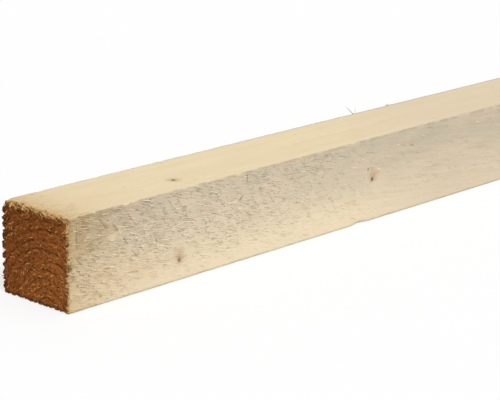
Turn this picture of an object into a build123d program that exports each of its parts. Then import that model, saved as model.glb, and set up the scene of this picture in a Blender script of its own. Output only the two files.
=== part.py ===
"""Rough-sawn softwood square batten: one straight length of timber, lying on its underside along X."""

import os

from build123d import *

# Driving dimensions, in millimetres
stock_length = 2000.0  # along X, a length that such battens are sold in
section_width = 50.0  # along Y, between the two sawn sides
section_height = 50.0  # along Z, between the sawn underside and top
arris_radius = 1.5  # the four long edges, blunted by sawing and handling
end_break = 0.6  # the broken edge round each cross-cut end

# The whole batten is one piece of wood: the sawn section, drawn at the left end and run to the right end
with BuildPart() as sawn_timber:
    with BuildSketch(Plane.YZ.offset(-stock_length / 2)) as section:
        with Locations((0, section_height / 2)):
            RectangleRounded(section_width, section_height, arris_radius)
    extrude(amount=stock_length)
    cut_ends = sawn_timber.faces().filter_by(GeomType.PLANE).filter_by(Axis.X)
    chamfer(cut_ends.edges(), length=end_break)

sawn_timber.part.label = "sawn_timber"

os.makedirs("parts", exist_ok=True)
export_step(sawn_timber.part, "parts/sawn_timber.step")
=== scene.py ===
import math

import bpy
import numpy as np
from mathutils import Matrix, Vector


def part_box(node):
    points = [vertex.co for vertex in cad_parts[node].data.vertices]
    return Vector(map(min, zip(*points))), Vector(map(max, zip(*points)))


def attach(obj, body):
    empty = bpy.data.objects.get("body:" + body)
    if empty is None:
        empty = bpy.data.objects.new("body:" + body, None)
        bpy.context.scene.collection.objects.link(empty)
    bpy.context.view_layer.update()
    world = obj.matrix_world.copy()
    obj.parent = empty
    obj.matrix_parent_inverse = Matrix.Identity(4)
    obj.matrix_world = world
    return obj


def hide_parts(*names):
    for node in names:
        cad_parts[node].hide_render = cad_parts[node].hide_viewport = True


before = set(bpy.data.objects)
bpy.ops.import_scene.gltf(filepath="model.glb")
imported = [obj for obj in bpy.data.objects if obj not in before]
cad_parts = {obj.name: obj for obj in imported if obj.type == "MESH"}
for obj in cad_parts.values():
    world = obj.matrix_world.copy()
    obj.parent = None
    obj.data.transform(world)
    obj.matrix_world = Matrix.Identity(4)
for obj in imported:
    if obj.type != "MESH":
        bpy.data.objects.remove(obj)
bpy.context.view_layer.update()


# The sawn length
# One straight length of spruce, sawn square on four sides and cross-cut at both ends. It is solid wood in
# one piece, and the saw leaves four blunted long edges and a small broken edge round each end.
millimetre = 0.001
metre_in_mm = 1000.0
low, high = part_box("sawn_timber")
length_mm = (high.x - low.x) * metre_in_mm
side_mm = (high.z - low.z) * metre_in_mm
arris_radius_mm = 0.9
end_break_mm = 0.3
cells_across = 44
fine_cells = 3
cut_rows_mm = np.array([0.0, 0.35, 0.8, 1.4, 2.2, 3.2])
close_row_step_mm = 2.2
close_rows_to_mm = 400.0
wide_row_step_mm = 15.0
arris_crowding = 0.12


def ring_places():
    """How far each ring of the mesh stands from the left end: closest at the two cuts, widest far along."""
    past_cut = cut_rows_mm[-1] + close_row_step_mm
    close_rows = np.arange(past_cut, close_rows_to_mm, close_row_step_mm)
    wide_rows = np.arange(close_rows_to_mm, length_mm - past_cut, wide_row_step_mm)
    return np.concatenate([cut_rows_mm, close_rows, wide_rows, length_mm - cut_rows_mm[::-1]])


def side_line(cells):
    """Places from arris to arris across one side, a little closer together near the arrises."""
    share = np.linspace(-1, 1, cells + 1)
    return side_mm / 2 * share * (1 + arris_crowding - arris_crowding * share**2)


def section(cells):
    """Points round the square section, up the front first, with its corners blunted to the arris radius."""
    line, edge = side_line(cells), np.full(cells, side_mm / 2)
    square = np.concatenate([
        np.column_stack([-edge, line[:-1]]),
        np.column_stack([line[:-1], edge]),
        np.column_stack([edge, line[:0:-1]]),
        np.column_stack([line[:0:-1], -edge]),
    ])
    flat = side_mm / 2 - arris_radius_mm
    core = np.clip(square, -flat, flat)
    reach = np.linalg.norm(square - core, axis=1, keepdims=True)
    return core + (square - core) * np.minimum(1, arris_radius_mm / np.maximum(reach, 1e-9))


def band_faces(first, second):
    """Faces between two rings, and each corner's place round the section; a finer ring adds corners."""
    cells = min(len(first), len(second))
    a, b = len(first) // cells, len(second) // cells
    j = np.arange(cells)[:, None]
    on_second = b * j + np.arange(b + 1)
    on_first = a * (j + 1) - np.arange(a)
    faces = np.hstack([first[a * j], second[on_second % len(second)], first[on_first % len(first)]])
    around = np.hstack([a * j / len(first), on_second / len(second), on_first / len(first)]) * 4
    from_second = np.repeat([False, True, False], [1, b + 1, a])
    return faces, around, from_second


def sawn_length_mesh():
    """The timber as one closed mesh: rings along the length and a fine grid over each cut end."""
    edge = side_mm / 2
    cut_size = 1 - end_break_mm / edge
    places = ring_places()
    fine = np.minimum(places, length_mm - places) <= cut_rows_mm[-1]
    points, rings = [], []
    count = 0
    for place, is_fine in zip(places, fine):
        outline = section(cells_across * (fine_cells if is_fine else 1))
        outline = outline * (cut_size if place in (places[0], places[-1]) else 1)
        points.append(np.column_stack([np.full(len(outline), place), outline]))
        rings.append(count + np.arange(len(outline)))
        count += len(outline)

    # Its map for baked pictures: each side in two strips, one above the other, and both ends in a last band
    strip, end_band, gap = 0.108, 0.118, 0.002
    halfway = len(places[places < length_mm / 2])
    faces, corners = [], []
    for i in range(len(rings) - 1):
        band, around, from_second = band_faces(rings[i], rings[i + 1])
        late = i >= halfway
        start, stop = (places[halfway], places[-1]) if late else (places[0], places[halfway])
        along = (np.where(from_second, places[i + 1], places[i]) - start) / (stop - start)
        side = np.floor(around.min(1, keepdims=True) + 1e-6)
        across = gap + (around - side) * (strip - 2 * gap)
        faces.extend(band.tolist())
        spots = np.stack([gap + along * (1 - 2 * gap) + 0 * across, (2 * side + late) * strip + across], -1)
        corners.append(spots.reshape(-1, 2))

    n = cells_across * fine_cells
    line = side_line(n)[1:-1] * cut_size
    inner = np.stack(np.meshgrid(line, line, indexing="ij"), -1).reshape(-1, 2)
    a, b = np.meshgrid(np.arange(n + 1), np.arange(n + 1), indexing="ij")
    border = np.select([a == 0, b == n, a == n], [b, n + a, 3 * n - b], 4 * n - a) % (4 * n)
    on_border = (a == 0) | (b == 0) | (a == n) | (b == n)
    for end, ring in enumerate((rings[0], rings[-1])):
        points.append(np.column_stack([np.full(len(inner), places[-end]), inner]))
        spot = np.where(on_border, ring[border], count + (a - 1) * (n - 1) + b - 1)
        count += len(inner)
        grid = np.stack([spot, a, b], -1)
        cells = np.stack([grid[:-1, :-1], grid[:-1, 1:], grid[1:, 1:], grid[1:, :-1]], 2).reshape(-1, 4, 3)
        cells = cells[:, ::-1] if end else cells
        faces.extend(cells[:, :, 0].tolist())
        shift = [gap + end * (end_band + gap), 8 * strip + gap]
        corners.append((cells[:, :, 1:] / n * end_band + shift).reshape(-1, 2))

    points = (np.concatenate(points) + [-length_mm / 2, 0, edge]) * millimetre
    made = bpy.data.meshes.new("timber")
    made.from_pydata(points.tolist(), [], faces)
    made.shade_smooth()
    made.uv_layers.new(name="OFBake")
    made.uv_layers["OFBake"].data.foreach_set("uv", np.concatenate(corners).astype(np.float32).ravel())
    return made


timber = bpy.data.objects.new("timber", sawn_length_mesh())
bpy.context.scene.collection.objects.link(timber)


# Saw marks and torn grain
# The saw scores the two upright sides in slanting lines and tears short fibres out of the wet wood, and the
# cross-cut leaves the ends ragged, bitten in places and with a burr under a millimetre proud in others.
saw_pitch_mm = 6.0
saw_slant = 0.8
saw_depth_mm = 0.1
tear_depth_mm = 0.2
comb_depth_mm = 1.0
groove_depth_mm = 0.5
chip_depth_mm = 0.8
bite_depth_mm = 2.2
corner_wear_mm = 1.5
split_depth_mm = 0.9
splits = [((230.0, -side_mm / 2, 0.0), (8.0, 3.0, 2.5))]
heart_across_mm = -9.0
heart_up_mm = -3.0
ring_spacing_mm = 5.0
ring_start_mm = 2.1
ring_wander_mm = 7.0
ring_turn_mm = 28.0


def put(tree, kind, inputs, **settings):
    """Adds a node to a tree: its settings, then each input, by name or number, as a link or a value."""
    node = tree.nodes.new(kind)
    for name, value in settings.items():
        setattr(node, name, value)
    for key, given in inputs.items():
        if isinstance(given, bpy.types.NodeSocket):
            tree.links.new(given, node.inputs[key])
        else:
            node.inputs[key].default_value = given
    return node


def sums(tree, operation, *terms):
    """The answer of one Math node."""
    return put(tree, "ShaderNodeMath", dict(enumerate(terms)), operation=operation).outputs[0]


def product(tree, first, *others):
    """Several numbers multiplied together."""
    for other in others:
        first = sums(tree, "MULTIPLY", first, other)
    return first


def total(tree, first, *others):
    """Several numbers added together."""
    for other in others:
        first = sums(tree, "ADD", first, other)
    return first


def less(tree, first, second):
    """One number less another."""
    return sums(tree, "SUBTRACT", first, second)


def ramp(tree, value, slope, start):
    """A number times a slope, from a start."""
    return sums(tree, "MULTIPLY_ADD", value, slope, start)


def vector_sums(tree, operation, *terms):
    """The answer of one Vector Math node, a number for a length or a dot product."""
    node = put(tree, "ShaderNodeVectorMath", dict(enumerate(terms)), operation=operation)
    return node.outputs["Value" if operation in ("LENGTH", "DOT_PRODUCT") else "Vector"]


def scaled(tree, vector, factor):
    """A vector times a number."""
    return put(tree, "ShaderNodeVectorMath", {0: vector, "Scale": factor}, operation="SCALE").outputs[0]


def position(tree):
    """Where each point of a mesh is, in metres."""
    return tree.nodes.new("GeometryNodeInputPosition").outputs[0]


def parts_of(tree, vector):
    """The X, Y and Z of a vector."""
    return put(tree, "ShaderNodeSeparateXYZ", {0: vector}).outputs


def joined(tree, x, y, z):
    """A vector from its X, Y and Z."""
    return put(tree, "ShaderNodeCombineXYZ", {0: x, 1: y, 2: z}).outputs[0]


def eased(tree, value, start, end, first=0.0, last=1.0):
    """A value that goes smoothly from first at start to last at end."""
    inputs = {0: value, 1: start, 2: end, 3: first, 4: last}
    return put(tree, "ShaderNodeMapRange", inputs, interpolation_type="SMOOTHSTEP").outputs[0]


def clouds(tree, place, per_mm, shift, detail=2.0, roughness=0.5):
    """Noise from 0 to 1 over a place in millimetres, with its own fineness along X, Y and Z."""
    spot = vector_sums(tree, "MULTIPLY_ADD", place, per_mm, shift)
    inputs = {"Vector": spot, "Scale": 1.0, "Detail": detail, "Roughness": roughness}
    return put(tree, "ShaderNodeTexNoise", inputs).outputs["Fac"]


def new_tree(name, kind, takes, gives):
    """A node tree with named inputs and outputs, and the sockets inside it that they fill."""
    tree = bpy.data.node_groups.new(name, kind)
    for label, sort in takes.items():
        tree.interface.new_socket(label, in_out="INPUT", socket_type="NodeSocket" + sort)
    for label, sort in gives.items():
        tree.interface.new_socket(label, in_out="OUTPUT", socket_type="NodeSocket" + sort)
    return tree, tree.nodes.new("NodeGroupInput").outputs, tree.nodes.new("NodeGroupOutput").inputs


def stored(tree, geometry, name, value, **settings):
    """A mesh that carries a value under a name, at each point unless the settings say otherwise."""
    inputs = {"Geometry": geometry, "Name": name, "Value": value}
    return put(tree, "GeometryNodeStoreNamedAttribute", inputs, **settings).outputs[0]


def from_left_end(tree, x):
    """How far along the timber a place is from its left end."""
    return sums(tree, "ADD", x, length_mm / 2)


def from_nearer_end(tree, x):
    """How far along the timber a place is from the nearer end."""
    return less(tree, length_mm / 2, sums(tree, "ABSOLUTE", x))


def from_nearest_side(tree, y, z):
    """How deep inside the section a place is."""
    across = less(tree, side_mm / 2, sums(tree, "ABSOLUTE", y))
    return sums(tree, "MINIMUM", across, sums(tree, "MINIMUM", z, less(tree, side_mm, z)))


def about_heart(tree, place):
    """A place by the log's growth rings: X, how far round a middling ring, and how far from the heart."""
    x, y, z = parts_of(tree, place)
    across = less(tree, y, heart_across_mm)
    up = less(tree, z, heart_up_mm)
    out = vector_sums(tree, "LENGTH", joined(tree, 0.0, across, up))
    return joined(tree, x, sums(tree, "MULTIPLY", sums(tree, "ARCTAN2", across, up), ring_turn_mm), out)


def ring_phase(tree, place):
    """How far a place is through its growth ring, from 0 to 1; the rings wander a little along the length."""
    wander = clouds(tree, place, (0.006, 0.04, 0.04), (3.1, 7.7, 1.9), 4.0, 0.6)
    out = ramp(tree, wander, ring_wander_mm, parts_of(tree, about_heart(tree, place))["Z"])
    out = less(tree, out, ring_start_mm)
    return sums(tree, "FRACT", sums(tree, "DIVIDE", out, ring_spacing_mm))


def ring_lines(tree, place):
    """The hard outer edge of each growth ring, broken here and there."""
    phase = ring_phase(tree, place)
    line = product(tree, eased(tree, phase, 0.74, 0.94), eased(tree, phase, 0.96, 1.0, 1.0, 0.0))
    broken = clouds(tree, about_heart(tree, place), (0.1, 0.09, 0.2), (7.0, 2.0, 5.0), 3.0, 0.6)
    return product(tree, line, eased(tree, broken, 0.38, 0.6))


def saw_rows(tree, place, per_pitch):
    """Slanting rows from 0 to 1 that the saw's strokes leave across an upright side."""
    x, y, z = parts_of(tree, place)
    slanted = sums(tree, "DIVIDE", ramp(tree, z, saw_slant, x), saw_pitch_mm)
    spot = joined(tree, slanted, sums(tree, "MULTIPLY", y, 0.2), sums(tree, "MULTIPLY", z, 0.03))
    return clouds(tree, spot, (per_pitch, 1.0, 1.0), (0.4, 0.0, 0.0), 2.0)


def corner_nearness(tree, place, reach):
    """From 0 to 1 close to any of the timber's eight corners."""
    folded = vector_sums(tree, "ABSOLUTE", vector_sums(tree, "SUBTRACT", place, (0.0, 0.0, side_mm / 2)))
    off = vector_sums(tree, "SUBTRACT", folded, (length_mm / 2, side_mm / 2, side_mm / 2))
    return eased(tree, vector_sums(tree, "LENGTH", off), 0.0, reach, 1.0, 0.0)


def saw_marks_tree():
    """Cuts saw scores, torn grain, chips and ragged ends into the timber, and marks where it is torn."""
    takes = {"Geometry": "Geometry"}
    depths = ("Saw Depth", "Tear Depth", "Comb Depth", "Groove Depth", "Chip Depth", "Bite Depth",
              "Corner Wear", "Split Depth")
    takes.update(dict.fromkeys(depths, "Float"))
    tree, given, result = new_tree("saw marks", "GeometryNodeTree", takes, {"Geometry": "Geometry"})
    normal = tree.nodes.new("GeometryNodeInputNormal").outputs[0]
    place = scaled(tree, position(tree), metre_in_mm)
    x, y, z = parts_of(tree, place)
    facing = parts_of(tree, vector_sums(tree, "ABSOLUTE", normal))
    on_end, on_side, on_top = (eased(tree, part, 0.55, 0.9) for part in facing)
    off_end = less(tree, 1.0, on_end)
    on_arris = product(tree, facing["Y"], facing["Z"], 2.0)
    from_left = from_left_end(tree, x)
    from_end = from_nearer_end(tree, x)
    from_edge = from_nearest_side(tree, y, z)

    # Where the saw tore the grain: the upper part of the upright sides, in patches, less where it cut clean
    patches = eased(tree, clouds(tree, place, (0.02, 0.01, 0.05), (2.0, 5.0, 8.0)), 0.25, 0.55, 0.55, 1.0)
    height = sums(tree, "MAXIMUM", eased(tree, z, 2.0, 20.0, 0.3, 1.0),
                  eased(tree, from_left, 15.0, 60.0, 0.8, 0.3))
    settled = product(tree, eased(tree, from_left, 12.0, 40.0, 1.5, 1.0),
                      eased(tree, from_left, 110.0, 160.0, 1.05, 0.68))
    cleaner = eased(tree, from_left, 150.0, 260.0, 1.0, 0.3)
    rougher = eased(tree, from_left, 430.0, 520.0, 1.0, 2.6)
    torn_side = product(tree, patches, height, settled, cleaner, rougher)
    torn_top = eased(tree, from_end, 4.0, 32.0, 0.5, 0.03)
    torn = total(tree, product(tree, on_side, torn_side), product(tree, on_top, torn_top))
    torn = sums(tree, "MAXIMUM", torn, on_end)

    # How thick the fuzz of torn fibres stands: thickest round the cuts, clear of the floor and the far end
    on_border = eased(tree, from_edge, 0.8, 3.0, 1.0, 0.0)
    clear = product(tree, eased(tree, z, 3.0, 6.0),
                    eased(tree, from_left, length_mm - 14.0, length_mm - 8.0, 1.0, 0.0))
    thinned = eased(tree, from_left, 220.0, 280.0, 1.0, 0.4)
    side_fuzz = product(tree, torn, off_end, clear, thinned, eased(tree, from_end, 3.0, 5.0))
    flecked = eased(tree, clouds(tree, place, (0.1, 0.1, 0.1), (6.0, 1.0, 2.0), 3.0), 0.4, 0.6, 0.4, 1.2)
    end_fuzz = product(tree, on_end, flecked, ramp(tree, on_border, -0.2, 0.9),
                       eased(tree, z, 1.5, 2.5), eased(tree, z, side_mm - 5.0, side_mm - 2.5, 1.0, 0.3),
                       ramp(tree, ring_lines(tree, place), -0.6, 1.0))
    tufts = eased(tree, clouds(tree, place, (0.1, 0.4, 0.1), (3.0, 6.0, 1.0), 2.0), 0.42, 0.58, 0.2, 1.5)
    fray = product(tree, eased(tree, z, side_mm - 3.0, side_mm - 1.0),
                   eased(tree, from_end, 0.8, 2.5, 1.0, 0.0), tufts, eased(tree, y, -12.0, 8.0, 0.08, 1.0))

    # How deep the wood is cut away: scored and torn sides, combed ends, chipped arrises and bitten cuts
    scores = eased(tree, saw_rows(tree, place, 1.0), 0.35, 0.7)
    tears = eased(tree, clouds(tree, place, (0.16, 0.5, 0.7), (1.0, 2.0, 3.0), 3.0), 0.42, 0.68)
    side_cut = product(tree, total(tree, product(tree, scores, given["Saw Depth"]),
                                   product(tree, tears, torn_side, given["Tear Depth"])), on_side)
    combed = clouds(tree, about_heart(tree, place), (0.3, 0.4, 0.8), (9.0, 1.0, 4.0), 4.0, 0.65)
    combed = eased(tree, combed, 0.3, 0.7)
    end_cut = product(tree, total(tree, product(tree, combed, given["Comb Depth"]),
                                  product(tree, ring_lines(tree, place), given["Groove Depth"])), on_end)
    chips = eased(tree, clouds(tree, place, (0.14, 0.3, 0.3), (4.0, 4.0, 4.0), 4.0, 0.65), 0.5, 0.75)
    chip_cut = product(tree, chips, on_arris, given["Chip Depth"])
    bites = eased(tree, clouds(tree, place, (0.15, 0.36, 0.36), (2.0, 6.0, 9.0), 4.0, 0.7), 0.44, 0.64,
                  eased(tree, z, 0.5, 3.0, 0.0, -0.4), 0.6)
    at_corner = corner_nearness(tree, place, 5.5)
    bitten = total(tree, product(tree, off_end, eased(tree, from_end, 0.0, 3.0, 1.0, 0.0)),
                   product(tree, on_end, eased(tree, from_edge, 0.0, 2.5, 1.0, 0.0)))
    bite_cut = product(tree, bites, bitten, less(tree, 1.0, at_corner), given["Bite Depth"])
    corner_cut = product(tree, at_corner, eased(tree, z, side_mm / 2, side_mm), given["Corner Wear"])

    from_corner = vector_sums(tree, "ADD", place, (length_mm / 2, 0.0, 0.0))
    split_cut = 0.0
    for centre, reach in splits:
        off = vector_sums(tree, "DIVIDE", vector_sums(tree, "SUBTRACT", from_corner, centre), reach)
        split = eased(tree, vector_sums(tree, "LENGTH", off), 0.3, 1.0, 1.0, 0.0)
        split_cut = ramp(tree, split, given["Split Depth"], split_cut)

    cut = total(tree, side_cut, end_cut, chip_cut, bite_cut, corner_cut, split_cut)
    kept = given["Geometry"]
    marked = {"torn": torn, "end_grain": on_end, "side_fuzz": side_fuzz, "end_fuzz": end_fuzz, "fray": fray}
    for label, value in marked.items():
        kept = stored(tree, kept, label, value)
    kept = stored(tree, kept, "outward", normal, data_type="FLOAT_VECTOR")
    inward = scaled(tree, normal, sums(tree, "MULTIPLY", cut, -millimetre))
    moved = put(tree, "GeometryNodeSetPosition", {"Geometry": kept, "Offset": inward})
    tree.links.new(moved.outputs[0], result["Geometry"])
    return tree


def worked(start, tree, name, **values):
    """The plain mesh that a Geometry Nodes tree makes of a starting mesh, with its inputs set by name."""
    carrier = bpy.data.objects.new(name, start)
    bpy.context.scene.collection.objects.link(carrier)
    modifier = carrier.modifiers.new(name, "NODES")
    modifier.node_group = tree
    for label, value in values.items():
        socket = tree.interface.items_tree[label.replace("_", " ").title()]
        modifier[socket.identifier] = value
    scene_state = bpy.context.evaluated_depsgraph_get()
    made = bpy.data.meshes.new_from_object(
        carrier.evaluated_get(scene_state), preserve_all_data_layers=True, depsgraph=scene_state)
    bpy.data.objects.remove(carrier)
    made.name = name
    return made


timber.data = worked(
    timber.data, saw_marks_tree(), "timber", saw_depth=saw_depth_mm, tear_depth=tear_depth_mm,
    comb_depth=comb_depth_mm, groove_depth=groove_depth_mm, chip_depth=chip_depth_mm,
    bite_depth=bite_depth_mm, corner_wear=corner_wear_mm, split_depth=split_depth_mm)


# The wood's own colour
# Spruce is pale cream with slightly darker latewood in each growth ring, greyed where the upright side has
# weathered, and stained red-brown over the cross-cut ends. Small branches left a few dark pin knots.
cream = (0.85, 0.715, 0.475, 1)
latewood_tan = (0.77, 0.60, 0.385, 1)
bleached = (0.87, 0.75, 0.555, 1)
weathered_grey = (0.595, 0.525, 0.395, 1)
weathered_beige = (0.66, 0.55, 0.42, 1)
arris_darkening = (0.70, 0.62, 0.52, 1)
end_tan = (0.78, 0.68, 0.53, 1)
dusty_beige = (0.745, 0.61, 0.465, 1)
soak_olive = (0.57, 0.43, 0.225, 1)
handled_tan = (0.72, 0.555, 0.36, 1)
stain_tan = (0.60, 0.36, 0.14, 1)
stain_brown = (0.275, 0.080, 0.0165, 1)
stain_olive = (0.25, 0.082, 0.018, 1)
# The dark stain also gives the painted shade on the cut ends, and the pale stain their painted light
dark_stain_and_shade = (0.09, 0.026, 0.006, 1)
pale_stain_and_painted_light = (0.42, 0.145, 0.034, 1)
knot_dark = (0.12, 0.05, 0.013, 1)
knot_brown = (0.47, 0.27, 0.12, 1)
score_brown = (0.21, 0.145, 0.08, 1)
notch_shade_olive = (0.16, 0.10, 0.028, 1)
knot_spread = 2.7
mark_depth_mm = 2.0
tan_reach_mm = 22.0
tan_spread_mm = 60.0
soak_reach_mm = 11.0
stain_creep_mm = 3.6
stain_teeth_mm = 9.0
stain_missed_mm = 14.0
left = -length_mm / 2
front, back = -side_mm / 2, side_mm / 2


def knot(centre, reach, lean=(0.0, 0.0, 0.0)):
    """The two marks of a small branch cut through: browned wood, which may lean off, and its dark heart."""
    round_it = tuple(np.add(centre, lean))
    return [(round_it, tuple(np.multiply(reach, knot_spread)), 0, 0.85, knot_brown, 0.5),
            (centre, reach, 0, 0.5, knot_dark, 0.75)]


def on_front(along, height, length, width, *rest):
    """A mark on the front side, by its distance from the left end, its height and how far it reaches."""
    return (left + along, front, height), (length, mark_depth_mm, width), *rest


# Each mark has a centre, a reach along X, Y and Z, a turn in degrees, a softness, a colour and a share
marks = [
    *knot((left + 78.6, front, 11.6), (1.1, 2.0, 1.5), (0.4, 0.0, 2.0)),
    *knot((left + 240, front, 25.5), (1.3, 2.0, 1.2), (0.8, 0.0, 2.0)),
    *knot((left + 90, -9, side_mm), (1.3, 1.2, 2.0), (0.4, 0.4, 0.0)),
    *knot((left + 611, front, 33), (2.4, 2.0, 1.8), (1.5, 0.0, 0.0)),
    *knot((left + 985, front, 17), (1.6, 2.0, 1.3), (-1.0, 0.0, 1.0)),
    *knot((left + 1430, front, 28), (2.9, 2.0, 2.2), (2.0, 0.0, -1.0)),
    *knot((left + 700, 6, side_mm), (2.9, 1.5, 2.0), (1.5, 0.0, 0.0)),
    *knot((left + 1255, -12, side_mm), (2.2, 1.2, 2.0), (-1.0, 0.5, 0.0)),
    *knot((left + 1750, 9, side_mm), (3.4, 1.8, 2.0), (2.0, 0.0, 0.0)),
    *knot((left + 320, back, 19), (2.2, 2.0, 1.7), (1.0, 0.0, 1.0)),
    *knot((left + 905, back, 30), (2.7, 2.0, 2.0), (-1.5, 0.0, 0.0)),
    *knot((left + 1610, back, 22), (1.8, 2.0, 1.5), (1.0, 0.0, -1.0)),
    *knot((left + 520, 4, 0), (2.5, 1.5, 2.0), (1.0, 0.0, 0.0)),
    *knot((left + 1390, -7, 0), (3.0, 1.7, 2.0), (-1.5, 0.0, 0.0)),
    on_front(236, 32, 0.6, 0.9, 0, 0.4, knot_dark, 0.6),
    # A painted shade in a small notch at the cut end's front edge
    on_front(1, 24, 2.0, 1.1, -35, 0.4, notch_shade_olive, 0.85),
    on_front(14, 17.4, 0.9, 0.8, 0, 0.4, knot_dark, 0.6),
    on_front(61.6, 25.8, 1.4, 0.5, -50, 0.4, knot_dark, 0.55),
    on_front(126, 36, 2.3, 0.5, 37, 0.4, knot_dark, 0.5),
    on_front(131, 46.5, 2.6, 0.45, 90, 0.4, score_brown, 0.6),
    on_front(10, 44, 1.4, 0.5, -15, 0.4, score_brown, 0.6),
    on_front(5.8, 40, 6.0, 0.5, 90, 0.5, score_brown, 0.45),
    on_front(7.5, 41, 2.4, 2.6, 0, 0.6, score_brown, 0.2),
    ((left + 24, front, 48.0), (19.0, 0.8, 1.6), 0, 0.5, score_brown, 0.2),
    on_front(36, 15, 36.0, 8.0, 0, 0.9, handled_tan, 0.5),
    on_front(84, 41, 28.0, 10.0, 0, 0.9, bleached, 0.22),
    on_front(32.5, 39.0, 3.6, 0.4, -51, 0.5, score_brown, 0.65),
    on_front(39.3, 30.6, 2.6, 0.45, -50, 0.5, score_brown, 0.65),
    on_front(45.6, 22.6, 3.2, 0.4, -52, 0.5, score_brown, 0.55),
    on_front(25.5, 40.5, 4.5, 0.4, -51, 0.5, score_brown, 0.5),
    on_front(43.5, 41.5, 6.5, 0.4, -51, 0.5, score_brown, 0.45),
    on_front(7, 26.5, 4.0, 0.4, -51, 0.5, score_brown, 0.5),
]


def mixed(tree, share, first, second, way="MIX"):
    """Two colours mixed by a share from 0 to 1."""
    node = put(tree, "ShaderNodeMix", {0: share, 6: first, 7: second}, data_type="RGBA", blend_type=way)
    return node.outputs[2]


def fading(tree, distance, reach):
    """From 1 down towards 0 with distance, the faster the shorter the reach."""
    return sums(tree, "EXPONENT", sums(tree, "DIVIDE", sums(tree, "MULTIPLY", distance, -1.0), reach))


def mark_group():
    """A small mark on the wood: a ragged spot about a centre, turned in the plane of the upright sides."""
    takes = {"Place": "Vector", "Ragged": "Float", "Centre": "Vector", "Reach": "Vector", "Turn": "Float",
             "Softness": "Float"}
    tree, given, result = new_tree("small mark", "ShaderNodeTree", takes, {"Mark": "Float"})
    off = vector_sums(tree, "SUBTRACT", given["Place"], given["Centre"])
    turn = {"Vector": off, "Angle": given["Turn"]}
    turned = put(tree, "ShaderNodeVectorRotate", turn, rotation_type="Y_AXIS").outputs[0]
    away = vector_sums(tree, "LENGTH", vector_sums(tree, "DIVIDE", turned, given["Reach"]))
    inner = less(tree, 1.0, given["Softness"])
    outer = sums(tree, "ADD", 1.0, given["Softness"])
    mark = eased(tree, sums(tree, "ADD", away, given["Ragged"]), inner, outer, 1.0, 0.0)
    tree.links.new(mark, result["Mark"])
    return tree


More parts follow.
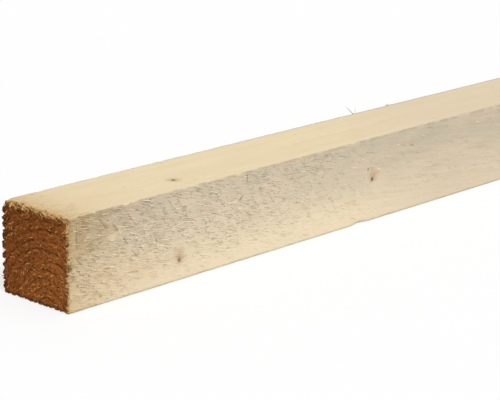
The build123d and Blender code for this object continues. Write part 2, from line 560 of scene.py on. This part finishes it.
def sawn_wood_group():
    """The colour of the wood at any place on the timber, with painted light and shade on the cut ends."""
    tree, given, result = new_tree("sawn wood", "ShaderNodeTree", {"Place": "Vector"}, {"Colour": "Color"})
    place = given["Place"]
    x, y, z = parts_of(tree, place)
    from_left = from_left_end(tree, x)
    from_end = from_nearer_end(tree, x)
    from_edge = from_nearest_side(tree, y, z)

    phase = ring_phase(tree, place)
    late = product(tree, eased(tree, phase, 0.35, 0.9), eased(tree, phase, 0.93, 1.0, 1.0, 0.0))
    streaks = clouds(tree, place, (0.012, 0.9, 0.9), (1.5, 0.2, 0.7), 4.0, 0.6)
    mottle = clouds(tree, place, (0.03, 0.09, 0.09), (4.4, 8.1, 0.3), 4.0, 0.6)
    darker = eased(tree, from_left, 200.0, 330.0, 0.0, 0.55)
    tan_share = total(tree, product(tree, late, 0.25), ramp(tree, streaks, 1.3, -0.6),
                      ramp(tree, mottle, 1.1, -0.52))
    wood = mixed(tree, darker, mixed(tree, tan_share, cream, latewood_tan), dusty_beige)

    # Weathering greys the upright sides from the top edge down, and the wood is tanned close to the cuts
    uneven = clouds(tree, place, (0.15, 0.3, 0.3), (3.0, 1.0, 7.0), 3.0)
    past_arris = less(tree, sums(tree, "ABSOLUTE", y), 0.8)
    past_arris = ramp(tree, uneven, 3.6, past_arris)
    sharper = eased(tree, from_left, 30.0, 60.0, 0.9, 0.0)
    inner = total(tree, eased(tree, from_left, 160.0, 280.0, side_mm / 2 - 1.1, side_mm / 2 - 2.6), sharper)
    on_side = eased(tree, past_arris, inner, side_mm / 2 + 0.5)
    wood = mixed(tree, product(tree, on_side, 0.7), wood, mixed(tree, darker, bleached, weathered_beige))
    drift = clouds(tree, place, (0.012, 0.05, 0.05), (7.0, 3.0, 2.0), 3.0, 0.6)
    level = ramp(tree, drift, 26.0, less(tree, z, 13.0))
    grey = product(tree, eased(tree, level, 7.0, 47.0), on_side, eased(tree, from_end, 3.0, 28.0, 0.5, 0.9))
    grey = total(tree, grey, product(tree, darker, on_side, 0.25))
    hue = eased(tree, clouds(tree, place, (0.035, 0.07, 0.09), (1.0, 9.0, 4.0), 2.0), 0.35, 0.65)
    wood = mixed(tree, grey, wood, mixed(tree, hue, weathered_grey, weathered_beige))
    arris_dark_from = sums(tree, "ADD", sharper, side_mm / 2 - 0.6)
    off_middle = sums(tree, "ABSOLUTE", less(tree, z, side_mm / 2))
    on_arris = product(tree, eased(tree, past_arris, arris_dark_from, side_mm / 2 + 0.6),
                       eased(tree, off_middle, side_mm / 2 - 1.6, side_mm / 2 - 0.4))
    # Darker in uneven patches along the arrises
    arris_darkened = product(tree, on_arris, eased(tree, uneven, 0.35, 0.65, 0.15, 0.6))
    wood = mixed(tree, arris_darkened, wood, arris_darkening, "MULTIPLY")
    tanned = ramp(tree, on_side, eased(tree, z, 10.0, side_mm, 0.0, 0.9), 0.6)
    tanned = product(tree, fading(tree, from_end, tan_reach_mm), tanned)
    tanned = total(tree, tanned, product(tree, fading(tree, from_end, tan_spread_mm), on_side, 0.14))
    wood = mixed(tree, tanned, wood, end_tan, "MULTIPLY")
    soaked = clouds(tree, place, (0.12, 0.7, 0.7), (1.0, 4.0, 6.0), 4.0, 0.65)
    soaked = product(tree, eased(tree, soaked, 0.4, 0.68), fading(tree, from_end, soak_reach_mm))
    wood = mixed(tree, soaked, wood, mixed(tree, on_side, stain_tan, soak_olive))
    edging = fading(tree, from_end, ramp(tree, on_side, -1.6, 2.6))
    edging = product(tree, edging, ramp(tree, on_side, -0.35, 0.85))
    wood = mixed(tree, edging, wood, stain_tan)

    ragged = less(tree, clouds(tree, place, (0.3, 0.6, 0.6), (6.0, 2.0, 1.0), 3.0), 0.5)
    mark = mark_group()
    for centre, reach, turn, softness, colour, share in marks:
        values = {"Place": place, "Ragged": ragged, "Centre": centre, "Reach": reach,
                  "Turn": math.radians(turn), "Softness": softness}
        spot = put(tree, "ShaderNodeGroup", values, node_tree=mark).outputs["Mark"]
        wood = mixed(tree, product(tree, spot, share), wood, colour)

    # The stain soaks the end grain, creeps a little over the edges and misses the worn upper edge in places
    creep = clouds(tree, place, (0.3, 0.6, 0.6), (5.0, 5.0, 1.0), 4.0, 0.65)
    creep = ramp(tree, creep, stain_creep_mm, -1.1)
    creep = total(tree, creep, eased(tree, from_edge, 0.3, 1.6, 0.0, 4.0))
    stain = eased(tree, less(tree, from_end, creep), -0.25, 0.3, 1.0, 0.0)
    missed = clouds(tree, place, (0.2, 0.14, 0.2), (8.0, 5.1, 2.0), 5.0, 0.65)
    upper = total(tree, ramp(tree, missed, stain_missed_mm, z),
                  product(tree, corner_nearness(tree, place, 7.0), 4.0),
                  eased(tree, y, back, front, 0.0, 1.6))
    stain = product(tree, stain, eased(tree, upper, side_mm + 5.2, side_mm + 6.8, 1.0, 0.0))
    teeth = clouds(tree, place, (0.08, 0.3, 0.5), (1.0, 3.0, 4.0), 3.0, 0.65)
    inside = ramp(tree, teeth, stain_teeth_mm, sums(tree, "ADD", y, side_mm / 2 - 5.6))
    stain = product(tree, stain, eased(tree, inside, -0.1, 1.1))

    # Its tone: painted light towards the lower front corner, painted shade along the upper back edge and in
    # notches along the edges, and dark in the hard rings
    blotches = eased(tree, clouds(tree, place, (0.1, 0.09, 0.12), (3.0, 4.0, 2.0), 3.0), 0.35, 0.65)
    grains = clouds(tree, about_heart(tree, place), (0.5, 0.6, 1.1), (3.0, 9.0, 2.0), 4.0, 0.65)
    brown = mixed(tree, blotches, stain_brown, stain_olive)
    # Painted light, brighter towards the lower front corner of the cut end
    lit = less(tree, back, y)
    lit = ramp(tree, less(tree, side_mm, z), 0.8, lit)
    brown = mixed(tree, eased(tree, lit, 20.0, 75.0, 0.0, 0.78), brown, pale_stain_and_painted_light)
    brown = mixed(tree, eased(tree, grains, 0.3, 0.47, 0.75, 0.0), brown, dark_stain_and_shade)
    brown = mixed(tree, eased(tree, grains, 0.58, 0.75, 0.0, 0.8), brown, pale_stain_and_painted_light)
    early = product(tree, eased(tree, phase, 0.25, 0.55), eased(tree, phase, 0.68, 0.8, 1.0, 0.0))
    brown = mixed(tree, product(tree, early, 0.3), brown, pale_stain_and_painted_light)
    # Painted shade along the upper back edge of the cut end
    shaded = product(tree, eased(tree, y, back - 11.0, back - 3.0, 0.0, 0.2), eased(tree, z, 24.0, 34.0))
    brown = mixed(tree, shaded, brown, dark_stain_and_shade)
    brown = mixed(tree, product(tree, ring_lines(tree, place), 0.75), brown, dark_stain_and_shade)
    # Painted shade in small notches along the edges of the cut end
    notches = eased(tree, clouds(tree, place, (0.3, 0.45, 0.45), (2.0, 8.0, 5.0), 3.0), 0.36, 0.54)
    notches = product(tree, notches, eased(tree, from_edge, 0.7, 2.5, 0.7, 0.0))
    brown = mixed(tree, notches, brown, dark_stain_and_shade)
    wood = mixed(tree, eased(tree, stain, 0.0, 0.5), wood, stain_tan)
    tree.links.new(mixed(tree, eased(tree, stain, 0.3, 0.75), wood, brown), result["Colour"])
    return tree


sawn_wood = sawn_wood_group()


# The finish of the sawn faces
# Nothing has been planed or coated: the bare wood is matt, and its torn grain reads as short strokes, each
# with painted shade where fibres came away and a painted highlight along the lip above, most of them in
# slanting rows along the saw's way.
wood_roughness = 0.9
wood_gloss = 0.04
grain_slope = 0.1
end_slope = 0.15
grain_settles_mm = 130.0
lip_rise_mm = 0.5
# Brown for the grain lines and streaks and for the painted shade in the torn strokes, and the colour of the
# painted highlight along their lips
grain_brown_and_tear_shade = (0.57, 0.42, 0.17, 1)
painted_lip_highlight = (0.75, 0.59, 0.42, 1)
tear_relief = 0.2 * millimetre


def along_grain(tree, place):
    """A place with its height measured from the sloping lie of the fibres, steepest at the left end."""
    x, y, z = parts_of(tree, place)
    from_left = from_left_end(tree, x)
    steeper = product(tree, fading(tree, from_left, grain_settles_mm), -end_slope * grain_settles_mm)
    fall = total(tree, product(tree, from_left, grain_slope), steeper)
    return joined(tree, x, y, sums(tree, "ADD", z, fall))


def torn_grain_group():
    """Where fibres are torn out of a sawn side: ragged strokes along the grain, in slanting rows."""
    tree, given, result = new_tree("torn grain", "ShaderNodeTree", {"Place": "Vector"}, {"Tear": "Float"})
    field = clouds(tree, along_grain(tree, given["Place"]), (0.2, 0.8, 1.25), (2.0, 5.0, 9.0), 3.0, 0.6)
    rows = eased(tree, saw_rows(tree, given["Place"], 1.6), 0.4, 0.65, -0.05, 0.065)
    tree.links.new(eased(tree, sums(tree, "ADD", field, rows), 0.57, 0.73), result["Tear"])
    return tree


def new_finish(name, gloss):
    """A material with a matt wood shader, its node tree, and the place that is shaded, in millimetres."""
    material = bpy.data.materials.new(name)
    material.use_nodes = True
    tree = material.node_tree
    shader = tree.nodes["Principled BSDF"]
    shader.inputs["Roughness"].default_value = wood_roughness
    shader.inputs["Specular IOR Level"].default_value = gloss
    spot = tree.nodes.new("ShaderNodeTexCoord").outputs["Object"]
    return material, tree, shader, scaled(tree, spot, metre_in_mm)


def attribute(tree, name):
    """A number that the mesh carries at each point."""
    node = put(tree, "ShaderNodeAttribute", {}, attribute_name=name, attribute_type="GEOMETRY")
    return node.outputs["Fac"]


def sawn_finish():
    """Bare sawn wood, with torn grain on the sides, painted shade and highlight in its strokes, and the
    stained end grain.
    """
    material, tree, shader, place = new_finish("sawn softwood", wood_gloss)
    colour = put(tree, "ShaderNodeGroup", {"Place": place}, node_tree=sawn_wood).outputs["Colour"]
    torn = attribute(tree, "torn")
    end_grain = attribute(tree, "end_grain")
    off_end = less(tree, 1.0, end_grain)
    on_sides = product(tree, torn, off_end)
    torn_grain = torn_grain_group()
    below = vector_sums(tree, "SUBTRACT", place, (0.0, 0.0, lip_rise_mm))
    tear = put(tree, "ShaderNodeGroup", {"Place": place}, node_tree=torn_grain).outputs["Tear"]
    lip = put(tree, "ShaderNodeGroup", {"Place": below}, node_tree=torn_grain).outputs["Tear"]
    lip = product(tree, lip, less(tree, 1.0, tear))
    grain = clouds(tree, along_grain(tree, place), (0.07, 2.0, 2.4), (2.0, 7.0, 5.0), 3.0, 0.6)
    lines = product(tree, eased(tree, grain, 0.5, 0.3), on_sides, 0.3)
    x, y, z = parts_of(tree, place)
    clean = product(tree, eased(tree, x, left + 170.0, left + 270.0),
                    eased(tree, z, side_mm - 2.5, side_mm - 0.5, 1.0, 0.0),
                    eased(tree, z, 2.0, 14.0, 0.2, 1.0), off_end)
    soft = clouds(tree, along_grain(tree, place), (0.03, 0.4, 0.5), (4.0, 1.0, 6.0), 3.0, 0.6)
    streaks = product(tree, eased(tree, soft, 0.42, 0.68), clean, 0.16)
    # Painted shade in each torn stroke
    strokes = product(tree, tear, on_sides, eased(tree, z, 5.0, 40.0, 0.15, 0.34))
    for share in (lines, streaks, strokes):
        colour = mixed(tree, share, colour, grain_brown_and_tear_shade, "MULTIPLY")
    # Painted highlight along the lip above each torn stroke
    colour = mixed(tree, product(tree, lip, on_sides), colour, painted_lip_highlight, "SCREEN")
    tree.links.new(colour, shader.inputs["Base Color"])
    pits = clouds(tree, place, (0.9, 1.0, 1.6), (1.0, 5.0, 3.0), 4.0, 0.7)
    side_height = total(tree, product(tree, lip, 1.8), product(tree, tear, -0.8), product(tree, grain, 0.5))
    side_height = product(tree, side_height, ramp(tree, torn, 0.9, 0.1))
    height = ramp(tree, product(tree, pits, end_grain), 1.5, side_height)
    bump = put(tree, "ShaderNodeBump", {"Height": height, "Distance": tear_relief, "Strength": 1.0})
    tree.links.new(bump.outputs["Normal"], shader.inputs["Normal"])
    return material


timber.data.materials.clear()
timber.data.materials.append(sawn_finish())
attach(timber, "root")
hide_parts("sawn_timber")


# Torn fibres
# Sawing leaves a fuzz of half-torn fibres, each a thin tapering wisp still rooted in the wood at one end.
# They lie along the grain on the sides, combed over on the cut ends, and in tufts over the cuts' upper edges.
fibre_sides = 3
fibre_lengths = 3
fibre_tip = 0.5
fibre_bends_per_metre = 350.0


def torn_fibres_tree():
    """Wisps rooted where a surface faces one way, as thick on the ground as the fuzz stands there."""
    takes = {"Geometry": "Geometry", "Bed": "String", "Facing": "Vector", "Spread": "Float",
             "Grain": "Vector", "Rings": "Float", "Density": "Float", "Least Size": "Vector",
             "Greatest Size": "Vector", "Turn": "Float", "Least Lift": "Float", "Greatest Lift": "Float",
             "Bend": "Float", "Seed": "Int", "Finish": "Material"}
    tree, given, result = new_tree("torn fibres", "GeometryNodeTree", takes, {"Geometry": "Geometry"})

    def carried(name, kind="FLOAT"):
        """A number or vector that the mesh carries."""
        return put(tree, "GeometryNodeInputNamedAttribute", {"Name": name}, data_type=kind).outputs[0]

    def chance(least, greatest, number):
        """A number drawn for each fibre."""
        return put(tree, "FunctionNodeRandomValue",
                   {2: least, 3: greatest, 8: sums(tree, "ADD", given["Seed"], number)}).outputs[1]

    outward = carried("outward", "FLOAT_VECTOR")
    turned = vector_sums(tree, "DOT_PRODUCT", outward, given["Facing"])
    beyond = vector_sums(tree, "DOT_PRODUCT", position(tree), given["Facing"])
    wanted = product(tree, sums(tree, "GREATER_THAN", turned, given["Spread"]),
                     sums(tree, "GREATER_THAN", beyond, 0.0))
    density = product(tree, carried(given["Bed"]), given["Density"])
    ground = put(tree, "GeometryNodeDistributePointsOnFaces",
                 {"Mesh": given["Geometry"], "Selection": wanted, "Seed": given["Seed"], "Density": density},
                 distribute_method="RANDOM")
    from_heart = vector_sums(tree, "SUBTRACT", scaled(tree, position(tree), metre_in_mm),
                             (0.0, heart_across_mm, heart_up_mm))
    round_heart = vector_sums(tree, "CROSS_PRODUCT", from_heart, (1.0, 0.0, 0.0))
    round_heart = vector_sums(tree, "NORMALIZE", round_heart)
    grain = vector_sums(tree, "ADD", given["Grain"], scaled(tree, round_heart, given["Rings"]))
    lie = put(tree, "FunctionNodeAxesToRotation", {0: outward, 1: grain},
              primary_axis="Z", secondary_axis="X").outputs[0]
    lift = product(tree, chance(given["Least Lift"], given["Greatest Lift"], 11.0), -1.0)
    turn = chance(product(tree, given["Turn"], -1.0), given["Turn"], 12.0)
    lean = put(tree, "FunctionNodeEulerToRotation", {0: joined(tree, 0.0, lift, turn)}).outputs[0]
    lie = put(tree, "FunctionNodeRotateRotation", {0: lie, 1: lean}, rotation_space="LOCAL").outputs[0]
    sizes = {0: given["Least Size"], 1: given["Greatest Size"], 8: sums(tree, "ADD", given["Seed"], 13.0)}
    size = put(tree, "FunctionNodeRandomValue", sizes, data_type="FLOAT_VECTOR").outputs[0]

    cone = put(tree, "GeometryNodeMeshCone",
               {"Vertices": fibre_sides, "Side Segments": fibre_lengths, "Fill Segments": 1,
                "Radius Top": fibre_tip / 2, "Radius Bottom": 0.5, "Depth": 1.0}, fill_type="NGON").outputs
    wisp = stored(tree, cone["Mesh"], "own_map", cone["UV Map"], data_type="FLOAT2", domain="CORNER")
    wisp = stored(tree, wisp, "along", parts_of(tree, position(tree))["Z"])
    quarter_turn = (0.0, math.pi / 2, 0.0)
    wisp = put(tree, "GeometryNodeTransform", {"Geometry": wisp, "Rotation": quarter_turn}).outputs[0]
    laid = {"Points": ground.outputs["Points"], "Instance": wisp, "Rotation": lie, "Scale": size}
    fibres = put(tree, "GeometryNodeInstanceOnPoints", laid).outputs[0]
    number = tree.nodes.new("GeometryNodeInputIndex").outputs[0]
    fibres = stored(tree, fibres, "tone", chance(0.0, 1.0, 14.0), domain="INSTANCE")
    fibres = stored(tree, fibres, "number", number, domain="INSTANCE")
    fibres = put(tree, "GeometryNodeRealizeInstances", {0: fibres}).outputs[0]

    # Each fibre bends its own way towards its tip
    spot = scaled(tree, position(tree), fibre_bends_per_metre)
    sway = put(tree, "ShaderNodeTexNoise", {"Vector": spot, "Scale": 1.0, "Detail": 1.0}).outputs["Color"]
    sway = vector_sums(tree, "SUBTRACT", sway, (0.5, 0.5, 0.5))
    sway = scaled(tree, sway, product(tree, carried("along"), given["Bend"]))
    fibres = put(tree, "GeometryNodeSetPosition", {"Geometry": fibres, "Offset": sway}).outputs[0]

    # Each fibre has a cell of its own in the map for baked pictures
    roots = {0: ground.outputs["Points"]}
    count = put(tree, "GeometryNodeAttributeDomainSize", roots, component="POINTCLOUD").outputs
    cells = sums(tree, "CEIL", sums(tree, "SQRT", count["Point Count"]))
    column = sums(tree, "FLOORED_MODULO", carried("number"), cells)
    row = sums(tree, "FLOOR", sums(tree, "DIVIDE", carried("number"), cells))
    spot = vector_sums(tree, "ADD", joined(tree, column, row, 0.0), carried("own_map", "FLOAT_VECTOR"))
    spot = vector_sums(tree, "DIVIDE", spot, joined(tree, cells, cells, 1.0))
    fibres = stored(tree, fibres, "OFBake", spot, data_type="FLOAT2", domain="CORNER")
    for label in ("own_map", "number", "along"):
        fibres = put(tree, "GeometryNodeRemoveAttribute", {"Geometry": fibres, "Name": label}).outputs[0]
    finished = put(tree, "GeometryNodeSetMaterial", {"Geometry": fibres, "Material": given["Finish"]})
    tree.links.new(finished.outputs[0], result["Geometry"])
    return tree


def fibre_finish(name, dull, dull_to, bright, bright_from, way="SCREEN"):
    """The wood's own colour where the fibre lies, dulled for a low tone and brightened for a high one."""
    material, tree, shader, place = new_finish(name, 0.0)
    wood = put(tree, "ShaderNodeGroup", {"Place": place}, node_tree=sawn_wood).outputs["Colour"]
    tone = attribute(tree, "tone")
    colour = mixed(tree, eased(tree, tone, dull_to, 0.0, 0.0, 0.8), wood, dull)
    colour = mixed(tree, eased(tree, tone, bright_from, 1.0, 0.0, 0.85), colour, bright, way)
    tree.links.new(colour, shader.inputs["Base Color"])
    return material


side_fibre_finish = fibre_finish("torn side fibres", dull=(0.46, 0.36, 0.23, 1), dull_to=0.08,
                                 bright=(0.84, 0.62, 0.39, 1), bright_from=0.35)
end_fibre_finish = fibre_finish("torn end fibres", dull=(0.06, 0.018, 0.004, 1), dull_to=0.36,
                                bright=(0.62, 0.27, 0.115, 1), bright_from=0.73)
fray_finish = fibre_finish("frayed end edges", dull=(0.2, 0.08, 0.012, 1), dull_to=0.45,
                           bright=(0.84, 0.51, 0.2, 1), bright_from=0.25, way="MIX")
fibre_tree = torn_fibres_tree()


def fibre_bed(name, sizes_mm, turn, lift, bend_mm, **values):
    """One bed of fibres as a plain mesh on the timber, in its own finish; angles are in degrees."""
    least, greatest = ([part * millimetre for part in size] for size in sizes_mm)
    made = worked(timber.data, fibre_tree, name, least_size=least, greatest_size=greatest,
                  turn=math.radians(turn), least_lift=0.0, greatest_lift=math.radians(lift),
                  bend=bend_mm * millimetre, **values)
    fibres = bpy.data.objects.new(name, made)
    bpy.context.scene.collection.objects.link(fibres)
    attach(fibres, "root")


side_fibres = {"bed": "side_fuzz", "finish": side_fibre_finish, "spread": 0.9, "rings": 0.0,
               "sizes_mm": ((2.0, 0.22, 0.12), (6.5, 0.6, 0.3))}
end_fibres = {"bed": "end_fuzz", "finish": end_fibre_finish, "spread": 0.8, "rings": 1.0,
              "sizes_mm": ((0.6, 0.35, 0.15), (2.2, 0.95, 0.4))}
frayed = {"bed": "fray", "finish": fray_finish, "spread": 0.6, "rings": 0.0,
          "sizes_mm": ((1.4, 0.45, 0.2), (4.6, 1.2, 0.4))}
fibre_bed("fibres_front", facing=(0, -1, 0), grain=(1, 0, -0.2), density=190000.0, turn=12, lift=7,
          bend_mm=1.0, seed=21, **side_fibres)
fibre_bed("fibres_back", facing=(0, 1, 0), grain=(1, 0, -0.2), density=100000.0, turn=12, lift=7,
          bend_mm=1.0, seed=22, **side_fibres)
fibre_bed("fibres_top", facing=(0, 0, 1), grain=(1, 0.05, 0), density=40000.0, turn=10, lift=5,
          bend_mm=0.8, seed=23, **side_fibres)
for side, way, seed in (("left", -1, 31), ("right", 1, 41)):
    fibre_bed(f"fibres_{side}_end", facing=(way, 0, 0), grain=(0, 0, 0), density=750000.0, turn=65, lift=25,
              bend_mm=0.6, seed=seed, **end_fibres)
    fibre_bed(f"fray_{side}_end", facing=(way * 0.7, 0, 0.7), grain=(0.5 * way, -1.0, -0.6),
              density=1300000.0, turn=28, lift=12, bend_mm=1.2, seed=seed + 1, **frayed)


# Loose splinters
# A few longer slivers have torn loose along the upper edges, most of them at the back. They are thin and
# springy, still rooted in the arris, and stand up from it.
splinter_radius_mm = 0.26
splinter_taper = 0.85
splinter_sag = 0.05
splinter_rings = 6
splinter_sides = 5
# Each splinter has its root, its reach from there and its thickness
splinters = [
    ((left + 281.4, back - 0.4, side_mm - 0.3), (-7.6, 0.6, 6.6), 0.9),
    ((left + 283.0, back - 0.4, side_mm - 0.3), (0.8, 0.4, 3.6), 0.6),
    ((left + 313.0, back - 0.4, side_mm - 0.3), (4.0, 0.3, 0.9), 1.2),
    ((left + 1120.0, back - 0.4, side_mm - 0.3), (5.0, 0.8, 3.6), 0.8),
    ((left + 1710.0, front + 0.4, side_mm - 0.3), (-4.5, -0.6, 3.0), 0.8),
]


def splinter_mesh():
    """Each splinter as a closed tapering tube along a slight curve from the arris to its tip."""
    points, faces = [], []
    share = np.linspace(0, 1, splinter_rings)[:, None]
    turn = np.linspace(0, 2 * math.pi, splinter_sides, endpoint=False)
    for root, reach, thickness in splinters:
        reach = np.array(reach)
        bow = np.array([0.0, 0.0, -splinter_sag * reach[2]])
        line = np.array(root) + share * reach + 4 * share * (1 - share) * bow
        across = np.cross(reach, (0, 1, 0)) / np.linalg.norm(np.cross(reach, (0, 1, 0)))
        beside = np.cross(reach, across) / np.linalg.norm(reach)
        around = np.cos(turn)[:, None] * across + np.sin(turn)[:, None] * beside
        radius = splinter_radius_mm * thickness * (1 - splinter_taper * share**1.5)
        first = len(points)
        for centre, width in zip(line, radius):
            points.extend(centre + width * around)
        j = np.arange(splinter_sides)
        after = (j + 1) % splinter_sides
        for i in range(splinter_rings - 1):
            ring = first + i * splinter_sides
            above = ring + splinter_sides
            faces.extend(np.stack([ring + j, ring + after, above + after, above + j], 1).tolist())
        faces.append((first + j[::-1]).tolist())
        faces.append((first + (splinter_rings - 1) * splinter_sides + j).tolist())
    made = bpy.data.meshes.new("loose_splinters")
    made.from_pydata((np.array(points) * millimetre).tolist(), [], faces)
    made.shade_smooth()
    made.materials.append(side_fibre_finish)
    return made


loose_splinters = bpy.data.objects.new("loose_splinters", splinter_mesh())
bpy.context.scene.collection.objects.link(loose_splinters)
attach(loose_splinters, "root")


# Floor
# A wide white studio floor under the timber. It looks evenly white, and keeps the soft shadow where the
# timber lies on it.
floor_reach = 60.0
floor_drop = 0.2 * millimetre
floor_white = (0.8, 0.8, 0.8, 1)
pure_white = (1, 1, 1, 1)
shown_white = 0.65


def seen(tree):
    """1 where the eye meets a surface, straight or in a reflection, and 0 for light on its way to others."""
    path = tree.nodes.new("ShaderNodeLightPath").outputs
    reflected = sums(tree, "MAXIMUM", path["Is Glossy Ray"], path["Is Transmission Ray"])
    return sums(tree, "MAXIMUM", path["Is Camera Ray"], reflected)


def floor_finish():
    """White paint: to the eye mostly an even white, and to other light a plain pale surface."""
    material = bpy.data.materials.new("studio floor")
    material.use_nodes = True
    tree = material.node_tree
    tree.nodes.clear()
    shown = seen(tree)
    white = mixed(tree, shown, floor_white, pure_white)
    paint = put(tree, "ShaderNodeBsdfDiffuse", {"Color": white}).outputs[0]
    glow = put(tree, "ShaderNodeEmission", {"Color": pure_white, "Strength": 1.0}).outputs[0]
    share = sums(tree, "MULTIPLY", shown, shown_white)
    blend = put(tree, "ShaderNodeMixShader", {0: share, 1: paint, 2: glow}).outputs[0]
    put(tree, "ShaderNodeOutputMaterial", {"Surface": blend})
    return material


floor_mesh = bpy.data.meshes.new("floor")
floor_corners = ((-1, -1), (1, -1), (1, 1), (-1, 1))
floor_points = [(x * floor_reach, y * floor_reach, -floor_drop) for x, y in floor_corners]
floor_mesh.from_pydata(floor_points, [], [(0, 1, 2, 3)])
floor_mesh.materials.append(floor_finish())
floor = bpy.data.objects.new("floor", floor_mesh)
bpy.context.scene.collection.objects.link(floor)


# Studio light
# A white room gives an even soft light from all round, and one broad lamp high in front, a little to the
# left, shapes the torn grain.
room_light = 0.5
lamp_light = 0.6
lamp_softness = math.radians(20)
lamp_from = Vector((-0.25, -0.55, 0.8))

room = bpy.data.worlds.new("white room")
bpy.context.scene.world = room
room.use_nodes = True
walls = room.node_tree
walls.nodes.clear()
strength = ramp(walls, seen(walls), 1.0 - room_light, room_light)
glow = put(walls, "ShaderNodeBackground", {"Color": pure_white, "Strength": strength}).outputs[0]
put(walls, "ShaderNodeOutputWorld", {"Surface": glow})

lamp = bpy.data.lights.new("broad lamp", "SUN")
lamp.energy = lamp_light * math.pi
lamp.angle = lamp_softness
lamp_stand = bpy.data.objects.new("broad lamp", lamp)
lamp_stand.matrix_world = lamp_from.to_track_quat("Z", "Y").to_matrix().to_4x4()
bpy.context.scene.collection.objects.link(lamp_stand)


# Camera
# It stands near the left end, a little above the timber, and looks along it and down, so that the cut end,
# the front side and the top all show.
picture_width = 500
focal_px = 1866.7
camera_sensor = 36.0
yaw = math.radians(42.33)
pitch = math.radians(15.86)
roll = math.radians(1.03)
camera_from_corner = Vector((-0.5936, -0.6623, 0.3131))

forward = Vector((math.cos(yaw) * math.cos(pitch), math.sin(yaw) * math.cos(pitch), -math.sin(pitch)))
level_right = Vector((math.sin(yaw), -math.cos(yaw), 0))
level_up = level_right.cross(forward)
right = level_right * math.cos(roll) + level_up * math.sin(roll)
up = level_up * math.cos(roll) - level_right * math.sin(roll)
camera = bpy.data.cameras.new("camera")
camera.sensor_width = camera_sensor
camera.lens = focal_px * camera_sensor / picture_width
camera_stand = bpy.data.objects.new("camera", camera)
turned = Matrix((right, up, -forward)).transposed().to_4x4()
camera_stand.matrix_world = Matrix.Translation(Vector((low.x, low.y, low.z)) + camera_from_corner) @ turned
bpy.context.scene.collection.objects.link(camera_stand)
bpy.context.scene.camera = camera_stand
bpy.context.scene.view_settings.view_transform = "Standard"
